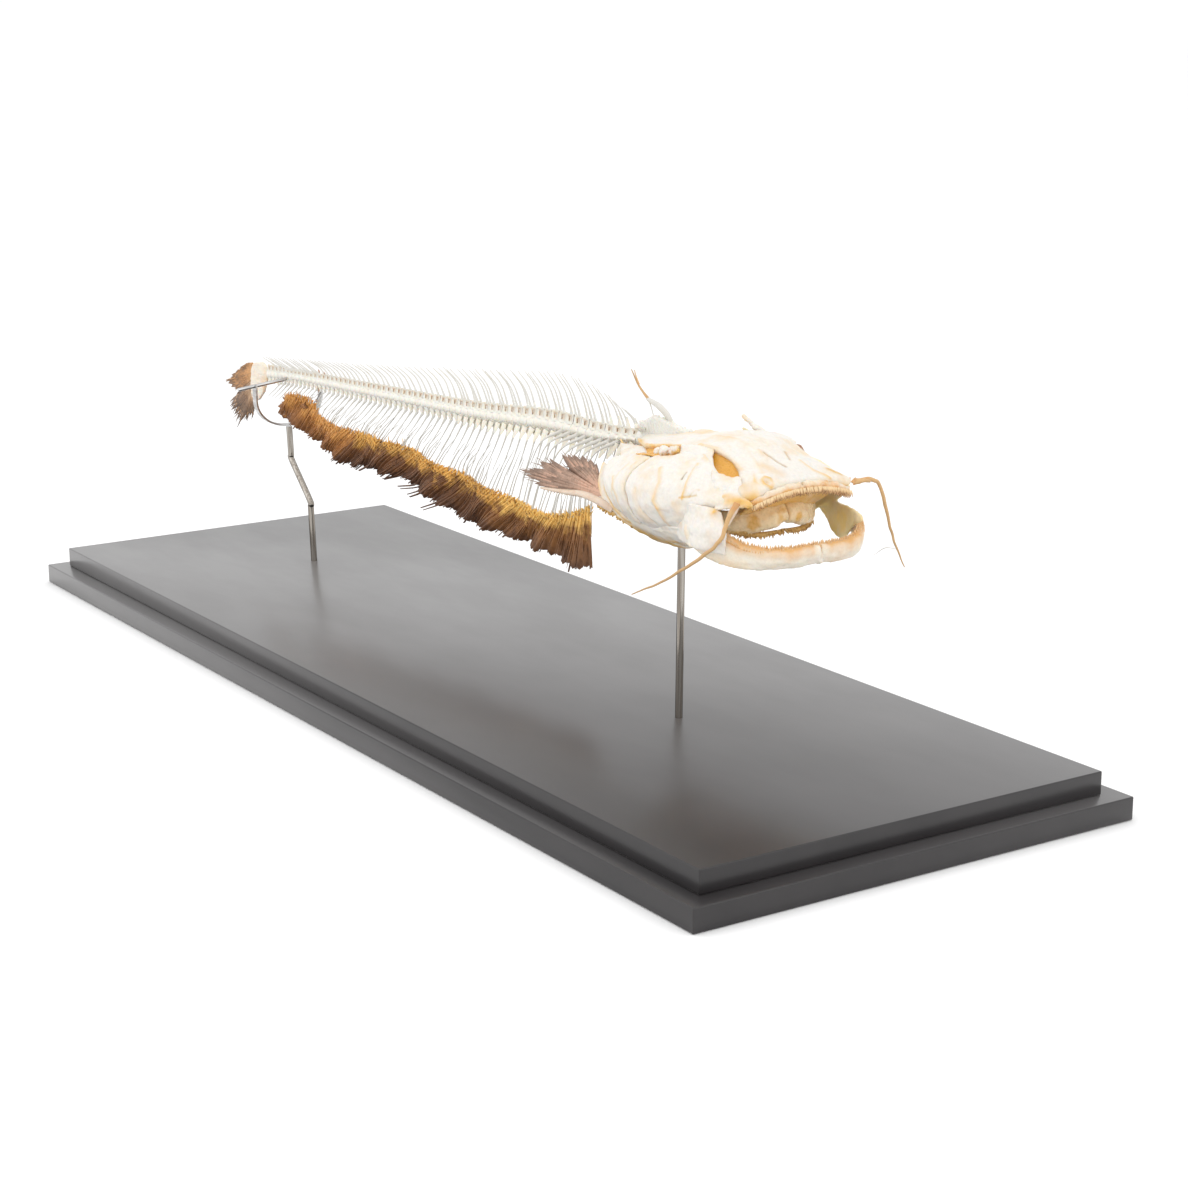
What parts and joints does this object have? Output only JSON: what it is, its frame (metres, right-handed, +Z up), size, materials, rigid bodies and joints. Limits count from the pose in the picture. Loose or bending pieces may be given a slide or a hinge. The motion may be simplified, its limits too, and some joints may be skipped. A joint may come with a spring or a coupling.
{
  "type": "mounted catfish skeleton",
  "caption": "Still catfish skeleton with a broad flat skull, open jaws, barbels and a long ribbon fin, held over a stepped black board by two metal rods.",
  "frame": {"origin": "bottom centre of the lower board", "axes": "+X towards the fish's head, +Z up, -Y the fish's right side"},
  "size_m": [0.746, 0.262, 0.2008],
  "materials": {
    "board": "satin black lacquer",
    "steel": "polished",
    "skull_bone": "dry cream bone with yellow stains",
    "vertebrae": "dry pale bone",
    "golden_fin": "dried golden brown fin rays",
    "dark_fin": "dried grey brown skin on rays",
    "amber": "dried translucent amber tissue"
  },
  "bodies": {
    "root": {"base_lower": "board", "base_upper": "board", "rod_front": "steel", "rod_rear": "steel", "tail_cradle": "steel", "spine_tail_rear": "vertebrae", "spine_tail_middle": "vertebrae", "spine_tail_front": "vertebrae", "spine_trunk": "vertebrae", "anal_fin_1": "golden_fin", "anal_fin_2": "golden_fin", "anal_fin_3": "golden_fin", "anal_fin_4": "golden_fin", "tail_plate": "skull_bone", "tail_fin_upper": "golden_fin", "tail_fin_lower": "dark_fin", "dorsal_fin": "skull_bone", "pectoral_fin_right": "dark_fin", "pectoral_fin_left": "dark_fin", "neurocranium": "skull_bone", "front_vertebrae": "vertebrae", "upper_jaw_right": "skull_bone", "upper_jaw_left": "skull_bone", "lower_jaw_right": "skull_bone", "lower_jaw_left": "skull_bone", "cheek_right": "skull_bone", "cheek_left": "skull_bone", "gill_cover_right": "skull_bone", "gill_cover_left": "skull_bone", "gill_rays_right": "skull_bone", "gill_rays_left": "skull_bone", "hyoid_arch_right": "amber", "hyoid_arch_left": "amber", "shoulder_girdle_right": "skull_bone", "shoulder_girdle_left": "skull_bone", "barbel_right": "amber", "barbel_left": "amber"}
  },
  "joints": []
}
